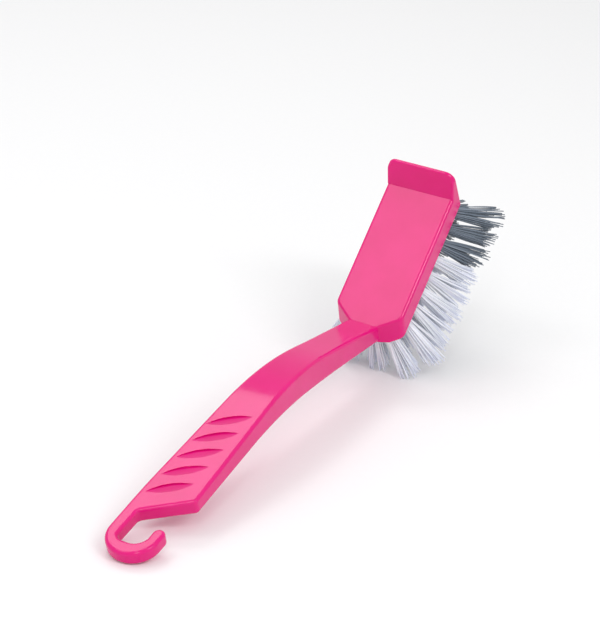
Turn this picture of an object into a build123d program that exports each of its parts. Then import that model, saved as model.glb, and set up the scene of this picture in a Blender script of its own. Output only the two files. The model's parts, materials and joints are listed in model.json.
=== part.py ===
from build123d import *
import os
from math import atan2, cos, degrees, radians, sin, tan

# Long-handled scrubbing brush: moulded handle and head, bristle tufts and metal anchors.
#
# Millimetres and degrees. Every piece is drawn in the moulding's own frame, and then the whole
# brush is laid down as it rests on a table. In the moulding's frame X runs from the hang hook to
# the scraper lip, Z is the direction the mould opens, Z = 0 is the flat top of the grip, and X = 0
# is about where the grip ends and the hook begins. On the head, p runs along its flat top from the
# heel, and h stands square to that top.

# Side view of the handle
GRIP_END = 64.0           # X where the grip's flat top ends and the arch starts
ARCH_RADIUS = 148.0       # the arch joins the grip's top to the neck's
NECK_PITCH = 22.2         # slope of the neck's top
HEEL_X = 169.7            # X of the valley between the neck and the head
TAIL_X = -45.0            # an X past the hook's end
GRIP_THICKNESS = 8.2      # at X = 0
GRIP_TAPER = 3.2          # slope of the grip's underside
HOOK_TAPER = 1.5          # slope of the hook's underside
HOOK_TAPER_BLEND = 400.0  # radius between those two slopes
BELLY_X = 77.0            # X where the underside's two slopes would meet
BELLY_RADIUS = 234.0      # the arch that joins them
BELLY_PITCH = 17.1        # slope of the neck's underside

# Handle seen from above
GRIP_HALF_WIDTH = 13.45
NECK_HALF_WIDTH = 8.4
NECK_X = 124.0            # X where the grip's taper ends
TAPER_BLEND = 880.0       # radius between the taper and the neck
HOOK_BLEND = 390.0        # radius between the taper and the hook
END_X = 1.4               # the grip's longer corner
END_SLANT = 37.3          # the cut-off end, measured from Y
END_ROUND = 2.6
END_ROOT_ROUND = 3.2

# Hang hook seen from above
EYE_CENTRE = (-25.05, 0.45)
EYE_RADIUS = 6.55
EYE_CORNER = 2.8          # the eye is squarer where it meets the hook's straight side
RIM_CENTRE = (-26.3, 0.8)
RIM_RADIUS = 12.65
TIP_X = -22.0             # centre of the rounded tip

# Head and scraper lip
HEAD_PITCH = 30.0
HEAD_HALF_WIDTH = 18.7
HEAD_THICKNESS = 11.0
HEEL_CHAMFER = 6.5        # along X
HEEL_ROUND = 4.0
HEEL_OVERLAP = 3.0        # the head's block runs this far into the neck
LIP_FOLD = 74.3           # p where the lip turns up
LIP_HEIGHT = 11.2         # h of the rim
LIP_RIM = (82.6, 84.5)    # p of the rim's inner and outer edges
LIP_CORNER = 5.0          # rounded upper corners
FRONT_FOOT = 77.6         # p of the underside's front edge
LIP_OVERLAP = 1.5         # the head's block stops this far inside the lip's front

# Rounded edges of the moulding
HANDLE_EDGE = 1.5
HANDLE_UNDER_EDGE = 2.5
HEAD_EDGE = 1.6
RIM_EDGE = 0.8
HEAD_UNDER_EDGE = 0.8

# Finger recesses across the grip: each is deepest along its edge nearer the head
RECESS_COUNT = 5
RECESS_FIRST = (3.6, 1.9)   # centre of the one next to the hook
RECESS_STEP = (12.1, -0.2)  # from each one to the next
RECESS_LENGTH = 21.5
RECESS_WIDTH = 5.3
RECESS_DEPTH = 0.8

# Tufts
ROW_COUNT = 9
ROW_PITCH = 8.6
FRONT_ROW = 72.3          # p of the row next to the lip
COLUMNS = 4
HEEL_COLUMNS = 3
COLUMN_PITCH = 8.4
HOLE_RADIUS = 2.5
HOLE_DEPTH = 8.0
TUFT_RADIUS = 2.45
TUFT_DEPTH = 25.0         # the tufts are trimmed flat this far below the head
COLLAR = 2.2              # a tuft stays straight this far out of its hole
SHOULDER_RADIUS = 3.9     # then it spreads to this, and past its shoulder less
SHOULDER_REACH = 9.0
SHOULDER_BLEND = 12.0
TIP_FLARE = 2.6           # spread of a tuft past its shoulder, each side
HEEL_LEAN = -22.0         # lean along the head, heel row
FRONT_LEAN = 24.0         # lean along the head, front row
SIDE_LEAN = 29.0          # lean of the outer columns to the side

# Anchors: each tuft is folded round one, and its ends bite into the wall of the hole
ANCHOR_WIDTH = 6.0
ANCHOR_THICKNESS = 0.45
ANCHOR_HEIGHT = 2.0
ANCHOR_FLOOR = 1.2        # folded filament between the anchor and the bottom of the hole

SETTLING_STEPS = 8        # rounds that find the resting tilt


def arch_drop():
    """How far the neck's line has dropped below the grip at the valley."""
    corner = GRIP_END + ARCH_RADIUS * tan(radians(NECK_PITCH / 2))
    return (HEEL_X - corner) * tan(radians(NECK_PITCH))


def on_head(p, h, y=0.0):
    """A point given by p and h, in the moulding's frame."""
    c = cos(radians(HEAD_PITCH))
    s = sin(radians(HEAD_PITCH))
    return Vector(HEEL_X + p * c - h * s, y, p * s + h * c - arch_drop())


def head_direction(p, y, h):
    """A direction given along p, y and h, in the moulding's frame."""
    return on_head(p, h, y) - on_head(0, 0)


def underside(x):
    """Z of the straight underside of the neck, and of the heel behind the head's underside."""
    meeting = -GRIP_THICKNESS - BELLY_X * tan(radians(GRIP_TAPER))
    return meeting - (x - BELLY_X) * tan(radians(BELLY_PITCH))


def under_heel():
    """The point where the neck's underside meets the head's underside."""
    foot = on_head(0, -HEAD_THICKNESS)
    gap = underside(foot.X) - foot.Z
    x = foot.X + gap / (tan(radians(HEAD_PITCH)) + tan(radians(BELLY_PITCH)))
    return Vector(x, 0, underside(x))


def extruded_side_view(points, radii):
    """A solid as wide as needed from a side view given as points with corner radii."""
    outline = FilletPolyline(*points, radius=radii, close=True)
    return extrude(make_face(outline.edges()), amount=2 * HEAD_HALF_WIDTH, both=True, dir=(0, 1, 0))


def extruded_plan(face):
    """A solid as tall as needed from a face seen from above."""
    return extrude(face, amount=4 * HEAD_HALF_WIDTH, both=True, dir=(0, 0, 1))


def polygon_plan(points, radii):
    return make_face(FilletPolyline(*points, radius=radii, close=True).edges())


def strip(x_range, y_range):
    """A rectangle seen from above."""
    centre = Pos(sum(x_range) / 2, sum(y_range) / 2)
    return centre * Rectangle(x_range[1] - x_range[0], y_range[1] - y_range[0])


def grip_plan():
    """The grip and the neck seen from above, with the cut-off end and the hook's straight neck."""
    hook_side = RIM_CENTRE[1] + RIM_RADIUS
    eye_side = EYE_CENTRE[1] + EYE_RADIUS
    root_x = END_X - (GRIP_HALF_WIDTH + eye_side) * tan(radians(END_SLANT))
    inside_head = HEEL_X + 3
    points = [
        (END_X, -GRIP_HALF_WIDTH),
        (NECK_X, -NECK_HALF_WIDTH),
        (inside_head, -NECK_HALF_WIDTH),
        (inside_head, NECK_HALF_WIDTH),
        (NECK_X, NECK_HALF_WIDTH),
        (0, hook_side),
        (RIM_CENTRE[0], hook_side),
        (RIM_CENTRE[0], eye_side),
        (root_x, eye_side),
    ]
    radii = [END_ROUND, TAPER_BLEND, 0, 0, TAPER_BLEND, HOOK_BLEND, 0, 0, END_ROOT_ROUND]
    return polygon_plan(points, radii)


def hook_plan():
    """The curled hook seen from above: half a ring, a straight stretch and a rounded tip."""
    rim_x, rim_y = RIM_CENTRE
    eye_x, eye_y = EYE_CENTRE
    tip_low = rim_y - RIM_RADIUS
    tip_high = eye_y - EYE_RADIUS
    behind = strip((TAIL_X, rim_x), (rim_y - RIM_RADIUS, rim_y + RIM_RADIUS))
    half_disc = Pos(*RIM_CENTRE) * Circle(RIM_RADIUS) & behind
    tip_bar = strip((rim_x, TIP_X), (tip_low, tip_high))
    tip_end = Pos(TIP_X, (tip_low + tip_high) / 2) * Circle((tip_high - tip_low) / 2)
    squarer = [
        (eye_x - EYE_RADIUS, eye_y + EYE_RADIUS),
        (eye_x - EYE_RADIUS, eye_y),
        (eye_x, eye_y),
        (eye_x, eye_y + EYE_RADIUS),
    ]
    eye = Pos(*EYE_CENTRE) * Circle(EYE_RADIUS) + polygon_plan(squarer, [EYE_CORNER, 0, 0, 0])
    return half_disc + tip_bar + tip_end - eye


def head_plan():
    """The head seen from above. Its chamfered heel runs on a little way inside the neck."""
    front = on_head(LIP_RIM[1], LIP_HEIGHT).X + 5
    shoulder = HEEL_X + HEEL_CHAMFER
    chamfer_slope = (HEAD_HALF_WIDTH - NECK_HALF_WIDTH) / HEEL_CHAMFER
    back = HEEL_X - HEEL_OVERLAP
    back_half = NECK_HALF_WIDTH - HEEL_OVERLAP * chamfer_slope
    points = [
        (back, -back_half),
        (shoulder, -HEAD_HALF_WIDTH),
        (front, -HEAD_HALF_WIDTH),
        (front, HEAD_HALF_WIDTH),
        (shoulder, HEAD_HALF_WIDTH),
        (back, back_half),
    ]
    return polygon_plan(points, [HEAD_EDGE, HEEL_ROUND, 0, 0, HEEL_ROUND, HEAD_EDGE])


def is_wall(face):
    """True for a face that stands along the direction the mould opens."""
    return abs(face.normal_at().Z) < 0.02


def rim_edges(solid, upward):
    """The edges between the walls and the faces that look up, or down."""
    walls = solid.faces().filter_by(is_wall)
    caps = solid.faces().filter_by(lambda f: not is_wall(f) and (f.normal_at().Z > 0) == upward)
    wall_edges = set(walls.edges())
    return ShapeList(edge for edge in set(caps.edges()) if edge in wall_edges)


def handle():
    """Hook, grip and neck, up to just inside the head, with rounded edges and finger recesses."""
    slope = tan(radians(NECK_PITCH))
    end_x = under_heel().X
    corner = GRIP_END + ARCH_RADIUS * tan(radians(NECK_PITCH / 2))
    points = [
        (TAIL_X, 0, 0),
        (corner, 0, 0),
        (end_x, 0, (corner - end_x) * slope),
        (end_x, 0, underside(end_x)),
        (BELLY_X, 0, underside(BELLY_X)),
        (0, 0, -GRIP_THICKNESS),
        (TAIL_X, 0, -GRIP_THICKNESS - TAIL_X * tan(radians(HOOK_TAPER))),
    ]
    side = extruded_side_view(points, [0, ARCH_RADIUS, 0, 0, BELLY_RADIUS, HOOK_TAPER_BLEND, 0])
    solid = side & extruded_plan(grip_plan() + hook_plan())
    solid = fillet(rim_edges(solid, True), HANDLE_EDGE)
    solid = fillet(rim_edges(solid, False), HANDLE_UNDER_EDGE)
    return solid - recesses()


def recess():
    """The lens-shaped space of one recess: X runs along it, and Y = 0 and Z = 0 are its middle."""
    half_length = RECESS_LENGTH / 2
    half_width = RECESS_WIDTH / 2
    across = RECESS_WIDTH**2 / (2 * RECESS_DEPTH)
    end_drop = RECESS_DEPTH - half_width**2 / (2 * across)
    along = half_length**2 / (2 * end_drop)
    bow = (along**2 - (half_length + 1) ** 2) ** 0.5 - along
    low = across
    arc = ThreePointArc((-half_length - 1, low + bow), (0, low), (half_length + 1, low + bow))
    frame = Polyline(arc @ 1, (half_length + 1, 0), (-half_length - 1, 0), arc @ 0)
    barrel = revolve(make_face([arc, *frame.edges()]), Axis.X)
    upper = ThreePointArc((-half_length, 0), (0, half_width), (half_length, 0))
    lower = ThreePointArc((half_length, 0), (0, -half_width), (-half_length, 0))
    lens = extrude(make_face([upper, lower]), amount=RECESS_WIDTH, both=True)
    return Pos(0, half_width, across - RECESS_DEPTH) * barrel & lens


def recesses():
    """The recesses across the grip, parallel to its cut-off end."""
    space = recess()
    spaces = []
    for index in range(RECESS_COUNT):
        x = RECESS_FIRST[0] + index * RECESS_STEP[0]
        y = RECESS_FIRST[1] + index * RECESS_STEP[1]
        spaces.append(Pos(x, y) * Rot(0, 0, END_SLANT - 90) * space)
    return spaces


def front_face(h):
    """The p of the head's sloping front face at height h."""
    slope = (LIP_RIM[1] - FRONT_FOOT) / (LIP_HEIGHT + HEAD_THICKNESS)
    return FRONT_FOOT + (h + HEAD_THICKNESS) * slope


def head_block():
    """The flat head below the lip, with its upper edges rounded."""
    behind = HEEL_X - 2 * HEEL_OVERLAP
    points = [
        on_head(-3 * HEEL_OVERLAP, 0),
        on_head(front_face(0) - LIP_OVERLAP, 0),
        on_head(FRONT_FOOT - LIP_OVERLAP, -HEAD_THICKNESS),
        under_heel(),
        Vector(behind, 0, underside(behind)),
    ]
    solid = extruded_side_view(points, 0) & extruded_plan(head_plan())
    front_x = on_head(LIP_FOLD, 0).X
    top_edges = rim_edges(solid, True).filter_by(lambda edge: edge.center().X < front_x)
    solid = fillet(top_edges, HEAD_EDGE)
    inner_half = NECK_HALF_WIDTH / 2
    low_edges = rim_edges(solid, False).filter_by(lambda edge: abs(edge.center().Y) > inner_half)
    return fillet(low_edges, HEAD_UNDER_EDGE)


def scraper_lip():
    """The wedge-shaped lip across the head's front, with rounded corners and rim."""
    points = [
        on_head(LIP_FOLD, 0),
        on_head(LIP_RIM[0], LIP_HEIGHT),
        on_head(LIP_RIM[1], LIP_HEIGHT),
        on_head(FRONT_FOOT, -HEAD_THICKNESS),
        on_head(LIP_FOLD, -HEAD_THICKNESS),
    ]
    solid = extruded_side_view(points, 0) & extruded_plan(head_plan())
    corners = [on_head(sum(LIP_RIM) / 2, LIP_HEIGHT, y) for y in (-HEAD_HALF_WIDTH, HEAD_HALF_WIDTH)]
    rim_ends = ShapeList(solid.edges().sort_by_distance(corner)[0] for corner in corners)
    solid = fillet(rim_ends, LIP_CORNER)
    solid = fillet(solid.edges().filter_by(is_on_lip), RIM_EDGE)
    return fillet(rim_edges(solid, False), HEAD_UNDER_EDGE)


def is_on_lip(edge):
    """True for an edge of the lip that stands above the head's top."""
    c = cos(radians(HEAD_PITCH))
    s = sin(radians(HEAD_PITCH))
    middle = edge @ 0.5
    return (middle.Z + arch_drop()) * c - (middle.X - HEEL_X) * s > LIP_HEIGHT / 4


def lean_between(first, last, share):
    return first + (last - first) * share


def tuft_place(row, y):
    """The place of a tuft: its origin at the hole's mouth, its Z along the tuft away from the head."""
    lean = radians(lean_between(HEEL_LEAN, FRONT_LEAN, row / (ROW_COUNT - 1)))
    outer_y = COLUMN_PITCH * (COLUMNS - 1) / 2
    side = radians(SIDE_LEAN * y / outer_y)
    mouth = on_head(FRONT_ROW - (ROW_COUNT - 1 - row) * ROW_PITCH, -HEAD_THICKNESS, y)
    along = head_direction(tan(lean), tan(side), -1)
    return Plane(origin=mouth, x_dir=head_direction(1, 0, tan(lean)), z_dir=along)


def tuft_rows():
    """The places of the tufts, row by row from the heel."""
    rows = []
    for row in range(ROW_COUNT):
        columns = HEEL_COLUMNS if row == 0 else COLUMNS
        ys = [(column - (columns - 1) / 2) * COLUMN_PITCH for column in range(columns)]
        rows.append([tuft_place(row, y) for y in ys])
    return rows


def anchor():
    """A flat metal anchor, across the bottom of a hole."""
    middle = ANCHOR_FLOOR + ANCHOR_HEIGHT / 2 - HOLE_DEPTH
    return Pos(0, 0, middle) * Box(ANCHOR_WIDTH, ANCHOR_THICKNESS, ANCHOR_HEIGHT)


def hole():
    """The space that the head leaves for a tuft and its anchor."""
    return Pos(0, 0, -HOLE_DEPTH / 2 + 2) * Cylinder(HOLE_RADIUS, HOLE_DEPTH + 4) + anchor()


def tuft(place):
    """A bundle of filaments: straight in its hole, then spreading to the trimmed end."""
    length = 1.5 * TUFT_DEPTH
    tip_radius = SHOULDER_RADIUS + (length - SHOULDER_REACH) * tan(radians(TIP_FLARE))
    points = [
        (0, -HOLE_DEPTH),
        (TUFT_RADIUS, -HOLE_DEPTH),
        (TUFT_RADIUS, COLLAR),
        (SHOULDER_RADIUS, SHOULDER_REACH),
        (tip_radius, length),
        (0, length),
    ]
    outline = FilletPolyline(*points, radius=[0, 0, 0, SHOULDER_BLEND, 0, 0], close=True)
    untrimmed = revolve(Plane.XZ * make_face(outline.edges()), Axis.Z) - anchor()
    return place.location * untrimmed & above_trim()


def above_trim():
    """All the space above the plane that the tufts are trimmed to."""
    before = -2 * TUFT_DEPTH
    beyond = FRONT_ROW + 2 * TUFT_DEPTH
    trim = -HEAD_THICKNESS - TUFT_DEPTH
    points = [on_head(before, 0), on_head(beyond, 0), on_head(beyond, trim), on_head(before, trim)]
    return extruded_side_view(points, 0)


def moulded_pieces():
    """Every piece in the moulding's frame, by name."""
    rows = tuft_rows()
    body = handle() + head_block() + scraper_lip()
    body -= [place.location * hole() for row in rows for place in row]
    named = {"handle_and_head": body}
    for number, row in enumerate(rows, 1):
        named[f"anchors_row_{number}"] = Compound([place.location * anchor() for place in row])
        for column, place in enumerate(row, 1):
            named[f"tuft_row_{number}_column_{column}"] = tuft(place)
    return named


def resting_tilt():
    """How far the brush tips up, lip end high, when its hook and its heel tufts touch the table."""
    hook_end = handle()
    heel_tuft = tuft(tuft_rows()[0][0])
    reach = HEEL_X - (RIM_CENTRE[0] - RIM_RADIUS)
    tilt = 0.0
    for _ in range(SETTLING_STEPS):
        turn = Rot(0, -tilt, 0)
        hook_clearance = (turn * hook_end).bounding_box().min.Z
        tuft_clearance = (turn * heel_tuft).bounding_box().min.Z
        tilt += degrees(atan2(hook_clearance - tuft_clearance, reach))
    return tilt


def resting_place(named, tilt):
    """The move that tips the brush and puts the middle of its footprint at the origin."""
    turn = Rot(0, -tilt, 0)
    boxes = [(turn * piece).bounding_box() for piece in named.values()]
    low = [min(getattr(box.min, axis) for box in boxes) for axis in "XYZ"]
    high = [max(getattr(box.max, axis) for box in boxes) for axis in "XYZ"]
    return Pos(-(low[0] + high[0]) / 2, -(low[1] + high[1]) / 2, -low[2]) * turn


def main():
    os.makedirs("parts", exist_ok=True)
    named = moulded_pieces()
    tilt = resting_tilt()
    place = resting_place(named, tilt)
    for name, piece in named.items():
        export_step(place * piece, f"parts/{name}.step")
    print(f"{len(named)} pieces, resting tilt {tilt:.2f} degrees, moved by {place.position}")


if __name__ == "__main__":
    main()
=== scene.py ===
import json
import math

import bpy
import numpy as np
from mathutils import Matrix, Vector

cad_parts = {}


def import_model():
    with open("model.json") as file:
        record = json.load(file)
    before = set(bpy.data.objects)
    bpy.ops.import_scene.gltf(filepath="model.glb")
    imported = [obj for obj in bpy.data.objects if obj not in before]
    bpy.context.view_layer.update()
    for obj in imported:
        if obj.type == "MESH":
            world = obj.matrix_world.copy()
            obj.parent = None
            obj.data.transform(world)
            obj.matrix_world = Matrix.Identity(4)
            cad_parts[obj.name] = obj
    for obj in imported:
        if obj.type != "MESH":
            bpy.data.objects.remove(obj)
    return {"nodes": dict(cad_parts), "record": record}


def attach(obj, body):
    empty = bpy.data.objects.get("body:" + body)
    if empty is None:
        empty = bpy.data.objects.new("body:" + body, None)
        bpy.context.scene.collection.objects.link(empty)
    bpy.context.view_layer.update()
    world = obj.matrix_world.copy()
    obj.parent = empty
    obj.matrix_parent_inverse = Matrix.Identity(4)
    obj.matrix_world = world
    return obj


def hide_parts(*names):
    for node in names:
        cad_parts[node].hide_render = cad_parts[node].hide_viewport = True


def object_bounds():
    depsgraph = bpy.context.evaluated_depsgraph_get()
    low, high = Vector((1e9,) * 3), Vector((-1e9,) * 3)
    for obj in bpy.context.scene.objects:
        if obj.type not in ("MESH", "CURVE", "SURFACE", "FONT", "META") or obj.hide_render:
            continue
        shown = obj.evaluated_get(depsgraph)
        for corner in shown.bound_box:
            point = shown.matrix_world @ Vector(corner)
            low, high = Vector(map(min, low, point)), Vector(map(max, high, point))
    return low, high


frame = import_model()
cad_low, cad_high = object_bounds()
scene = bpy.context.scene
nodes = frame["nodes"]
rng = np.random.default_rng(20)

MM = 0.001

# Camera
CAMERA_AT = Vector((-0.77558, -0.42967, 0.47785))
CAMERA_TARGET = Vector((-0.00407, 0.0, 0.06320))
CAMERA_ROLL = math.radians(3.386)
CAMERA_LENS = 120.64
CAMERA_SENSOR = 36
CAMERA_CLIP = (0.01, 50)

# Reading a tuft's shape: how near to its trimmed plane or its hole end a corner counts as on it
TRIM_TOLERANCE = 0.02 * MM
END_TOLERANCE = 0.05 * MM
AXIS_ROUNDS = 6
UPRIGHT = 0.9999

# Filaments: lengths in metres, shares and counts without a unit
HOLE_DEPTH = 8 * MM
FILAMENT_RADIUS = 0.25 * MM
BUNDLE_RADIUS = 2.2 * MM
FOLD_HEIGHT = 1.2 * MM
FOLD_NEAREST = 0.5 * MM
FOLD_DEPTH = (0.45 * MM, 0.95 * MM)
FOLD_ANGLES = (0.0, 0.5, 1.0, math.pi / 2)
SHANK_TOP = 2 * MM
SITE_STEP = 0.46 * MM
SITE_ROW_STEP = 0.866
SIDES = 6
FREE_RINGS = 11
RAGGED = 0.8 * MM
SPREAD = 1.29
STRAY = 0.35 * MM
BEND = 0.05
STRAIGHT_OUT = 0.25
LEAVE_REACH = 0.3
ARRIVE_REACH = 0.4
THICKNESS_RANGE = (0.9, 1.1)
CAP_HEIGHT = 0.35
CLUMPS = 8
GATHER = 0.35
TIP_ROOM = 1.4 * MM
FLOOR_GAP = 0.05 * MM

# Floor and lights
FLOOR_HALF = 6.0
SOFTBOX_DISTANCE = 1.2
WORLD_STRENGTH = 0.82


def camera():
    data = bpy.data.cameras.new("camera")
    data.lens = CAMERA_LENS
    data.sensor_width = CAMERA_SENSOR
    data.clip_start, data.clip_end = CAMERA_CLIP
    obj = bpy.data.objects.new("camera", data)
    scene.collection.objects.link(obj)
    turn = (CAMERA_TARGET - CAMERA_AT).to_track_quat("-Z", "Y").to_matrix()
    turn = turn @ Matrix.Rotation(CAMERA_ROLL, 3, "Z")
    obj.matrix_world = Matrix.LocRotScale(CAMERA_AT, turn, None)
    scene.camera = obj


camera()


# Materials
class Shader:
    """A new material with a Principled shader, and short calls that add and join nodes."""

    def __init__(self, name, **sockets):
        self.material = bpy.data.materials.new(name)
        self.material.use_nodes = True
        self.tree = self.material.node_tree
        self.tree.nodes.clear()
        self.out = self.node("ShaderNodeOutputMaterial")
        self.principled = self.node("ShaderNodeBsdfPrincipled")
        self.join(self.principled.outputs["BSDF"], self.out.inputs["Surface"])
        for socket, value in sockets.items():
            self.principled.inputs[socket.replace("_", " ")].default_value = value

    def node(self, kind, inputs=(), **settings):
        node = self.tree.nodes.new(kind)
        for key, value in settings.items():
            setattr(node, key, value)
        for key, value in dict(inputs).items():
            self.feed(node.inputs[key], value)
        return node

    def feed(self, socket, value):
        if isinstance(value, bpy.types.NodeSocket):
            self.join(value, socket)
        else:
            socket.default_value = value

    def join(self, a, b):
        self.tree.links.new(a, b)

    def place(self):
        return self.node("ShaderNodeTexCoord").outputs["Object"]

    def stretched(self, scale):
        mapping = self.node("ShaderNodeMapping", {"Vector": self.place()})
        mapping.inputs["Scale"].default_value = scale
        return mapping.outputs["Vector"]

    def noise(self, scale, detail=3.0, roughness=0.5, vector=None):
        node = self.node("ShaderNodeTexNoise", {"Vector": vector or self.place(), "Scale": scale,
                                                "Detail": detail, "Roughness": roughness})
        return node.outputs["Fac"]

    def spread(self, value, low, high, to_low=0.0, to_high=1.0):
        node = self.node("ShaderNodeMapRange", {"Value": value, "From Min": low, "From Max": high,
                                                "To Min": to_low, "To Max": to_high})
        return node.outputs["Result"]

    def mix(self, share, a, b, mode="MIX"):
        node = self.node("ShaderNodeMix", data_type="RGBA", blend_type=mode)
        self.feed(node.inputs[0], share)
        self.feed(node.inputs[6], a)
        self.feed(node.inputs[7], b)
        return node.outputs[2]

    def math(self, operation, a, b=0.0):
        node = self.node("ShaderNodeMath", operation=operation)
        self.feed(node.inputs[0], a)
        self.feed(node.inputs[1], b)
        return node.outputs[0]

    def bump(self, height, distance, strength=1.0):
        node = self.node("ShaderNodeBump", {"Height": height, "Distance": distance,
                                            "Strength": strength})
        self.join(node.outputs["Normal"], self.principled.inputs["Normal"])

    def attribute(self, name):
        return self.node("ShaderNodeAttribute", attribute_name=name).outputs["Fac"]


def plastic():
    """Glossy pink plastic with cloudy colour, fine scuffs along the handle and moulding waves."""
    s = Shader("pink_plastic", IOR=1.39, Subsurface_Weight=0.12, Subsurface_Scale=0.004)
    s.principled.inputs["Subsurface Radius"].default_value = (1.0, 0.25, 0.5)
    cloud = s.noise(60.0, 4.0)
    colour = s.mix(s.spread(cloud, 0.35, 0.65),
                   (0.68, 0.003, 0.172, 1), (0.715, 0.004, 0.19, 1))
    s.join(colour, s.principled.inputs["Base Color"])
    fine = s.noise(2600.0, 2.0)
    scuffs = s.noise(90.0, 6.0, 0.7, s.stretched((1.0, 6.0, 6.0)))
    gloss = s.math("ADD", s.spread(scuffs, 0.4, 0.75, 0.09, 0.17),
                   s.spread(fine, 0.3, 0.7, -0.01, 0.02))
    s.join(gloss, s.principled.inputs["Roughness"])
    waves = s.noise(45.0, 1.0)
    height = s.math("ADD", s.math("MULTIPLY", waves, 0.9), s.math("MULTIPLY", fine, 0.02))
    s.bump(height, 0.00012, 0.6)
    return s.material


def bristle(name, root, middle, tip, dark):
    """Nylon coloured from root to tip: the darker root and tip are painted shade. Each filament is
    multiplied by a shade from dark to 1.
    """
    s = Shader(name, IOR=1.53)
    along = s.attribute("along")
    strand = s.attribute("strand")
    # Painted shade: darker at the root under the head and at the tip, lightest in the middle
    root_painted_shade = s.mix(s.spread(along, 0.0, 0.5), root, middle)
    ends_painted_shade = s.mix(s.spread(along, 0.75, 1.0), root_painted_shade, tip)
    shade = s.mix(s.spread(strand, 0.0, 1.0), dark, (1, 1, 1, 1))
    s.join(s.mix(1.0, ends_painted_shade, shade, "MULTIPLY"), s.principled.inputs["Base Color"])
    streak = s.noise(900.0, 2.0)
    s.join(s.spread(streak, 0.3, 0.7, 0.24, 0.42), s.principled.inputs["Roughness"])
    s.bump(streak, 0.00003, 0.5)
    return s.material


def wire():
    """Drawn metal with streaks along it."""
    s = Shader("anchor_wire", Metallic=1.0)
    drawn = s.noise(700.0, 3.0, 0.6, s.stretched((1.0, 8.0, 8.0)))
    colour = s.mix(s.spread(drawn, 0.3, 0.7), (0.50, 0.49, 0.47, 1), (0.68, 0.67, 0.65, 1))
    s.join(colour, s.principled.inputs["Base Color"])
    s.join(s.spread(drawn, 0.3, 0.7, 0.25, 0.45), s.principled.inputs["Roughness"])
    s.bump(drawn, 0.00002, 0.6)
    return s.material


def floor_material():
    s = Shader("floor_paper", Roughness=0.9)
    paper = s.mix(s.noise(300.0, 5.0), (0.86, 0.86, 0.865, 1), (0.88, 0.88, 0.885, 1))
    s.join(paper, s.principled.inputs["Base Color"])
    return s.material


PINK = plastic()
# The root and tip colours are darker than the middle: painted shade, not a colour change in the
# nylon
WHITE = bristle("white_nylon", root=(0.86, 0.88, 0.95, 1), middle=(0.93, 0.955, 0.99, 1),
                tip=(0.84, 0.87, 0.95, 1), dark=(0.84, 0.85, 0.93, 1))
GREY = bristle("grey_nylon", root=(0.18, 0.215, 0.26, 1), middle=(0.23, 0.275, 0.33, 1),
               tip=(0.17, 0.20, 0.24, 1), dark=(0.66, 0.68, 0.72, 1))
WIRE = wire()


def cover(obj, material):
    """Gives every slot of a carried-over node the material."""
    if not obj.material_slots:
        obj.data.materials.append(material)
    for place in obj.material_slots:
        place.material = material


# Bristles: folded filaments in the place of each solid tuft
def head_normal():
    """The way the head's back faces."""
    mount = next(m for m in frame["record"]["mounts"] if m["name"] == "head_back")
    return np.array(mount["axis"], float)


NORMAL = head_normal()


def corners(obj):
    points = np.empty(len(obj.data.vertices) * 3)
    obj.data.vertices.foreach_get("co", points)
    return points.reshape(-1, 3)


def unit(v):
    return v / np.linalg.norm(v, axis=-1, keepdims=True)


def tuft_frame(points):
    """A tuft's hole end, direction, trimmed end's centre and corners, and crosswise direction."""
    depth = points @ NORMAL
    trimmed = points[depth < depth.min() + TRIM_TOLERANCE]
    centre = (trimmed.min(axis=0) + trimmed.max(axis=0)) / 2
    far = points[np.linalg.norm(points - centre, axis=1).argmax()]
    axis = unit(far - centre)
    for _ in range(AXIS_ROUNDS):
        along = (points - centre) @ axis
        end = points[along > along.max() - END_TOLERANCE]
        bottom = (end.min(axis=0) + end.max(axis=0)) / 2
        axis = unit(bottom - centre)
    down = -axis
    if abs(down @ NORMAL) < UPRIGHT:
        across = unit(np.cross(down, NORMAL))
    else:
        across = np.array([0, 1, 0.0])
    return bottom, down, centre, trimmed, across


def fold_sites():
    """Where the filaments of half a bundle stand, packed side by side in half the hole."""
    sites = []
    y = FOLD_NEAREST
    while y < BUNDLE_RADIUS:
        width = 2 * math.sqrt(BUNDLE_RADIUS ** 2 - y ** 2)
        count = int(width / SITE_STEP) + 1
        sites += [((index - (count - 1) / 2) * SITE_STEP, y) for index in range(count)]
        y += SITE_STEP * SITE_ROW_STEP
    return sites


SITES = fold_sites()


def smooth_leg(start, leave, tip, arrive):
    """FREE_RINGS points of a cubic from start to tip, the start left out."""
    t = np.linspace(0, 1, FREE_RINGS + 1)[1:, None]
    b, c = start + leave, tip - arrive
    return (1 - t) ** 3 * start + 3 * t * (1 - t) ** 2 * b + 3 * t ** 2 * (1 - t) * c + t ** 3 * tip


def shortened(tip, start):
    """The tip, drawn back along its filament until it clears the floor."""
    lowest = FILAMENT_RADIUS + FLOOR_GAP
    if tip[2] >= lowest or start[2] <= tip[2]:
        return tip
    return start + (tip - start) * (start[2] - lowest) / (start[2] - tip[2])


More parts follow.
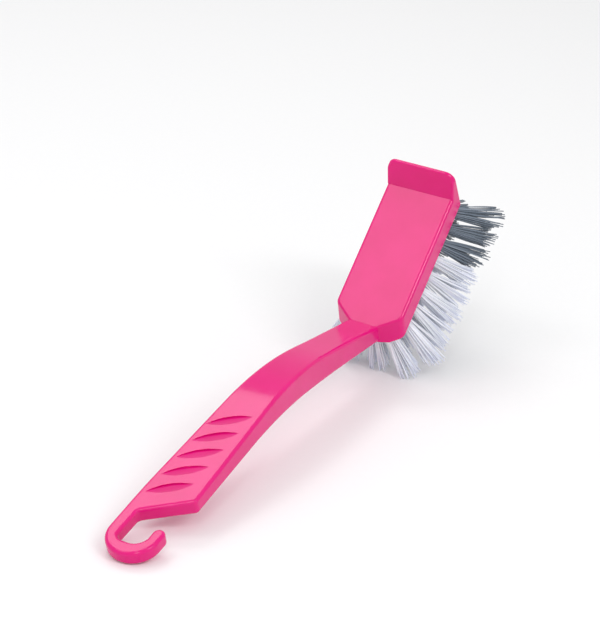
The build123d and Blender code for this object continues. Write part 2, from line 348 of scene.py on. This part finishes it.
def leg(site, sign, hole, tips):
    """One leg of a folded filament: from the bottom of its fold up the hole and out to its tip."""
    mouth, down, x_dir, y_dir = hole
    x, y = site
    share = (y - FOLD_NEAREST) / (BUNDLE_RADIUS - FOLD_NEAREST)
    depth = FOLD_DEPTH[0] + (FOLD_DEPTH[1] - FOLD_DEPTH[0]) * share
    base = mouth - down * (HOLE_DEPTH - FOLD_HEIGHT)
    points = []
    for angle in FOLD_ANGLES:
        points.append(base + x_dir * x + y_dir * sign * y * math.sin(angle)
                      - down * depth * math.cos(angle))
    line = x_dir * x + y_dir * sign * y
    points.append(mouth - down * SHANK_TOP + line)
    start = mouth + line
    points.append(start)
    tip = tips(x / BUNDLE_RADIUS, sign * y / BUNDLE_RADIUS)
    tip = shortened(tip + unit(tip - start) * rng.normal() * RAGGED, start)
    tip[1] = min(max(tip[1], cad_low[1] - TIP_ROOM), cad_high[1] + TIP_ROOM)
    reach = np.linalg.norm(tip - start)
    run = unit(tip - start)
    bend = x_dir * rng.normal() * BEND + y_dir * rng.normal() * BEND
    leave = (down * STRAIGHT_OUT + run * (1 - STRAIGHT_OUT)) * reach * LEAVE_REACH
    arrive = (run + bend) * reach * ARRIVE_REACH
    return np.vstack([points, smooth_leg(start, leave, tip, arrive)])


def tube(path, ref, radius):
    """Rings of points round a path, and the path's direction at each ring."""
    tangents = unit(np.gradient(path, axis=0))
    side = unit(ref - tangents * (tangents @ ref)[:, None])
    other = np.cross(tangents, side)
    angles = np.arange(SIDES) * 2 * math.pi / SIDES
    ring = (np.cos(angles)[:, None] * side[:, None, :]
            + np.sin(angles)[:, None] * other[:, None, :])
    return path[:, None, :] + ring * radius, tangents


def strands_mesh(name, paths, ref):
    """One mesh of closed tubes, which stores each tube's shade and the way from fold to tip."""
    verts, faces, along, strand = [], [], [], []
    total = 0
    for path in paths:
        radius = FILAMENT_RADIUS * rng.uniform(*THICKNESS_RANGE)
        rings, tangents = tube(path, ref, radius)
        count = len(path)
        caps = np.array([path[0] - tangents[0] * radius * CAP_HEIGHT,
                         path[-1] + tangents[-1] * radius * CAP_HEIGHT])
        verts.append(rings.reshape(-1, 3))
        verts.append(caps)
        middle = (count - 1) / 2
        ramp = np.abs(np.arange(count) - middle) / middle
        along.append(np.repeat(ramp, SIDES))
        along.append([1.0, 1.0])
        strand.append(np.full(count * SIDES + 2, rng.uniform()))
        for r in range(count - 1):
            for k in range(SIDES):
                a = total + r * SIDES + k
                b = total + r * SIDES + (k + 1) % SIDES
                faces.append((a, b, b + SIDES, a + SIDES))
        last = total + (count - 1) * SIDES
        cap = total + count * SIDES
        for k in range(SIDES):
            faces.append((total + (k + 1) % SIDES, total + k, cap))
            faces.append((last + k, last + (k + 1) % SIDES, cap + 1))
        total += count * SIDES + 2
    mesh = bpy.data.meshes.new(name)
    mesh.from_pydata(np.vstack(verts).tolist(), [], faces)
    for key, values in (("along", along), ("strand", strand)):
        layer = mesh.attributes.new(key, "FLOAT", "POINT")
        layer.data.foreach_set("value", np.concatenate(values).astype(np.float32))
    mesh.polygons.foreach_set("use_smooth", np.ones(len(mesh.polygons), bool))
    mesh.update()
    return mesh


def trimmed_end(trimmed, centre):
    """The half axes of the ellipse that the trimmed end makes."""
    ring = trimmed - centre
    values, vectors = np.linalg.eigh(ring.T @ ring / len(ring))
    return [vectors[:, k] * math.sqrt(2 * values[k]) for k in (1, 2)]


def clump_centres():
    """Places in the bundle that the tips near them lean towards."""
    angles = rng.uniform(0, 2 * math.pi, CLUMPS)
    reach = np.sqrt(rng.uniform(0, 1, CLUMPS))
    return np.column_stack([np.cos(angles) * reach, np.sin(angles) * reach])


def bristles(node):
    """Replaces a solid tuft with a mesh of its filaments."""
    bottom, down, centre, trimmed, across = tuft_frame(corners(nodes[node]))
    mouth = bottom + down * HOLE_DEPTH
    y_dir = np.cross(down, across)
    half_axes = trimmed_end(trimmed, centre)
    clumps = clump_centres()
    plane_x = across - NORMAL * (across @ NORMAL)
    plane_y = y_dir - NORMAL * (y_dir @ NORMAL)

    def tips(u, v):
        """The place on the trimmed end of a filament that stands at u, v in its bundle."""
        near = clumps[np.hypot(clumps[:, 0] - u, clumps[:, 1] - v).argmin()]
        u += (near[0] - u) * GATHER
        v += (near[1] - v) * GATHER
        way = unit(plane_x * u + plane_y * v)
        edge = 1 / math.sqrt(sum((way @ a) ** 2 / (a @ a) ** 2 for a in half_axes))
        stray = plane_x * rng.normal() * STRAY + plane_y * rng.normal() * STRAY
        return centre + way * edge * math.hypot(u, v) * SPREAD + stray

    hole = (mouth, down, across, y_dir)
    paths = []
    for site in SITES:
        one = leg(site, 1, hole, tips)
        two = leg(site, -1, hole, tips)
        paths.append(np.vstack([two[::-1], one[1:]]))
    name = node.replace("tuft", "bristles")
    obj = bpy.data.objects.new(name, strands_mesh(name, paths, across))
    scene.collection.objects.link(obj)
    slot = next(s["material_slot"] for s in frame["record"]["subparts"] if s["node"] == node)
    obj.data.materials.append(GREY if slot == "grey_bristle" else WHITE)
    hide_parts(node)
    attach(obj, "root")


for node in sorted(nodes):
    if node.startswith("tuft"):
        bristles(node)
    elif node.startswith("anchors"):
        cover(nodes[node], WIRE)
    else:
        cover(nodes[node], PINK)


# Floor and light
def floor():
    mesh = bpy.data.meshes.new("floor")
    half = FLOOR_HALF
    mesh.from_pydata([(-half, -half, 0), (half, -half, 0), (half, half, 0), (-half, half, 0)],
                     [], [(0, 1, 2, 3)])
    mesh.materials.append(floor_material())
    obj = bpy.data.objects.new("floor", mesh)
    scene.collection.objects.link(obj)


def softbox(name, target, azimuth, elevation, size, radiance, roll=0.0):
    """A rectangular light that faces the target, its azimuth counted from +X towards +Y."""
    azimuth = math.radians(azimuth)
    elevation = math.radians(elevation)
    way = Vector((math.cos(azimuth) * math.cos(elevation),
                  math.sin(azimuth) * math.cos(elevation),
                  math.sin(elevation)))
    data = bpy.data.lights.new(name, "AREA")
    data.shape = "RECTANGLE"
    data.size, data.size_y = size
    data.energy = radiance * math.pi * size[0] * size[1]
    obj = bpy.data.objects.new(name, data)
    scene.collection.objects.link(obj)
    turn = way.to_track_quat("Z", "Y").to_matrix() @ Matrix.Rotation(math.radians(roll), 3, "Z")
    obj.matrix_world = Matrix.LocRotScale(Vector(target) + way * SOFTBOX_DISTANCE, turn, None)


def world(strength):
    made = bpy.data.worlds.new("studio")
    made.use_nodes = True
    background = made.node_tree.nodes["Background"]
    background.inputs["Color"].default_value = (1, 1, 1, 1)
    background.inputs["Strength"].default_value = strength
    scene.world = made


floor()
world(WORLD_STRENGTH)
softbox("softbox_right", (-0.08, 0, 0.02), 50, 55, size=(0.5, 0.31), radiance=3.5)
softbox("softbox_back", (0.085, 0, 0.06), 136, 54, size=(0.34, 0.34), radiance=3.2)
softbox("softbox_front", (0.085, 0, 0.06), 247, 43, size=(0.5, 0.2), radiance=10.0, roll=-41)
softbox("softbox_top_front", (-0.12, 0, 0.02), 206, 47, size=(0.14, 0.52), radiance=7.5)
scene.view_settings.view_transform = "Standard"
